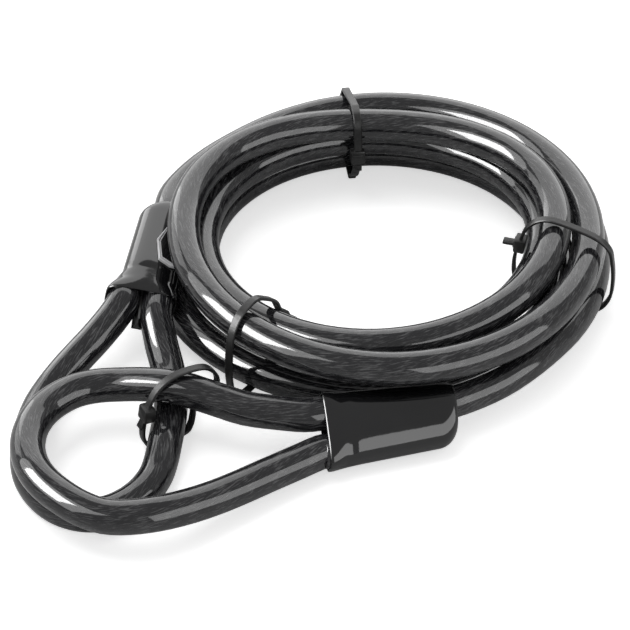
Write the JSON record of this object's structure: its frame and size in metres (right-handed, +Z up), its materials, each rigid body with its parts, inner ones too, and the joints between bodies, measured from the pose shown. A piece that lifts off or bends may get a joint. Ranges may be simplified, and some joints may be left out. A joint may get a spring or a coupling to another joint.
{
  "type": "double-loop security cable",
  "caption": "Coiled steel security cable in a smoke-black translucent jacket, with an eye closed by a black sleeve at each end, held in its coil by cable ties.",
  "frame": {"origin": "middle of the coiled cable's footprint on the ground it lies on", "axes": "+Z up; +Y from the eyes towards the far side of the coil; +X towards the coil, away from the eyes"},
  "size_m": [0.1788, 0.2017, 0.0334],
  "materials": {
    "jacket": "smoke black, glossy, with the wires showing faintly",
    "rope": "stranded steel wire",
    "ferrule": "pressed",
    "cover": "glossy black",
    "badge": "glossy, blank",
    "badge_border": "silver line",
    "tie": "black nylon"
  },
  "bodies": {
    "root": {"jacket_coil": "jacket", "jacket_eye_front": "jacket", "jacket_eye_rear": "jacket", "rope_coil": "rope", "rope_eye_front": "rope", "rope_eye_rear": "rope", "ferrule_front": "ferrule", "ferrule_rear": "ferrule", "cover_front": "cover", "cover_rear": "cover", "crotch_rear": "cover", "badge_plate": "badge", "badge_border": "badge_border", "tie_top": "tie", "tie_right": "tie", "tie_left": "tie", "tie_eyes": "tie"}
  },
  "joints": []
}
